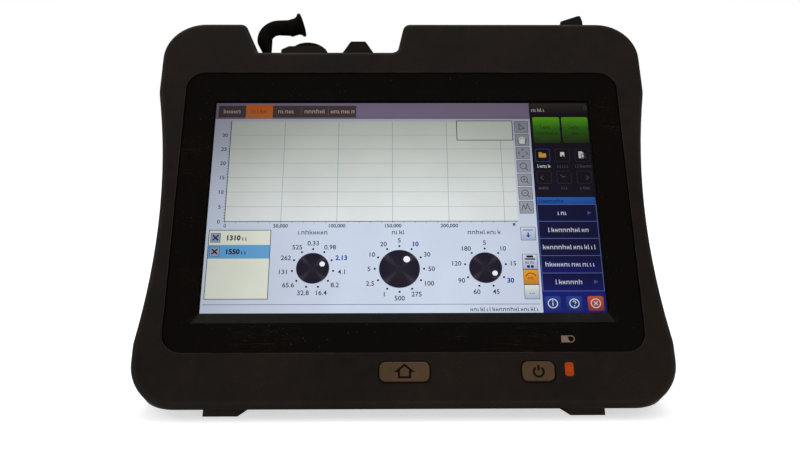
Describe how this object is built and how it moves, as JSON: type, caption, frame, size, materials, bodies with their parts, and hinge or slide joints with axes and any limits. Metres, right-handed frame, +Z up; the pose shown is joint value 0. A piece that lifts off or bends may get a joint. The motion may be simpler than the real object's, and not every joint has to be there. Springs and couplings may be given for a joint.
{
  "type": "optical time domain reflectometer",
  "caption": "Tablet-style optical fibre tester with a waisted case, wide colour display, front keys, a connector bay in its top edge and a rear kickstand.",
  "frame": {"origin": "centre of the footprint, on the bench: bottom centre of the bounding box", "axes": "+X to the right of the display, +Y from the user to the back, +Z up; the face leans back 30 degrees"},
  "size_m": [0.2, 0.1348, 0.1553],
  "materials": {
    "case": "satin moulded",
    "bezel": "gloss",
    "glass": "clear",
    "display": "backlit panel",
    "key": "satin",
    "light": "translucent amber",
    "rubber": "matt",
    "black_plastic": "satin",
    "ceramic": "polished ceramic",
    "steel": "plated",
    "alloy": "bead blasted",
    "board": "solder mask",
    "cell": "shrink wrap",
    "gold": "plated",
    "foam": "foam"
  },
  "bodies": {
    "case": {"front_housing": "case", "rear_housing": "case", "case_seal": "rubber", "case_screws": "steel", "bezel_panel": "bezel", "display_gasket": "foam", "touch_glass": "glass", "lcd_module": "display", "mid_chassis": "alloy", "internal_screws": "steel", "main_board": "board", "board_standoffs": "steel", "optical_module": "alloy", "battery_pack": "cell", "battery_contacts": "gold", "battery_door": "case", "battery_door_screws": "steel", "speaker": "black_plastic", "key_board": "board", "key_switches": "steel", "light_pipe": "light", "status_led": "light", "port_panel": "case", "port_guard": "case", "port_one_collar": "black_plastic", "port_one_sleeve": "ceramic", "port_two_adapter": "black_plastic", "port_two_sleeve": "ceramic", "cap_post": "black_plastic", "stylus_tube": "black_plastic", "io_board": "board", "usb_ports": "steel", "ethernet_port": "steel", "dc_jack": "black_plastic", "side_door_pin": "steel", "kickstand_pins": "steel", "front_feet": "rubber", "rear_pads": "rubber"},
    "stand": {"kickstand": "case", "kickstand_foot_pads": "rubber"},
    "home_key": {"home_button": "key"},
    "power_key": {"power_button": "key"},
    "tethered_cap": {"dust_cap": "rubber"},
    "second_cap": {"port_two_cap": "case"},
    "stylus": {"stylus": "black_plastic"},
    "port_door": {"side_door": "case"}
  },
  "joints": [
    {"name": "kickstand_hinge", "type": "hinge", "parent": "case", "child": "stand", "pos_m": [0, 0.04002, 0.07029], "axis": [1, 0, 0], "range_deg": [-40, 0]},
    {"name": "home_press", "type": "slide", "parent": "case", "child": "home_key", "axis": [0, 0.866, -0.5], "range_m": [0, 0.0008], "stiffness_N_per_m": 1500},
    {"name": "power_press", "type": "slide", "parent": "case", "child": "power_key", "axis": [0, 0.866, -0.5], "range_m": [0, 0.0008], "stiffness_N_per_m": 1500},
    {"name": "dust_cap_swivel", "type": "hinge", "parent": "case", "child": "tethered_cap", "pos_m": [-0.0581, 0.02274, 0.13535], "axis": [0, 0.5, 0.866], "range_deg": [-90, 90]},
    {"name": "port_two_cap_lift", "type": "slide", "parent": "case", "child": "second_cap", "axis": [0, 0.5, 0.866], "range_m": [0, 0.015]},
    {"name": "stylus_draw", "type": "slide", "parent": "case", "child": "stylus", "axis": [0, 0.5, 0.866], "range_m": [0, 0.095]},
    {"name": "side_door_swing", "type": "hinge", "parent": "case", "child": "port_door", "pos_m": [0.09347, -0.00697, 0.0599], "axis": [0, 0.5, 0.866], "range_deg": [0, 100]}
  ]
}
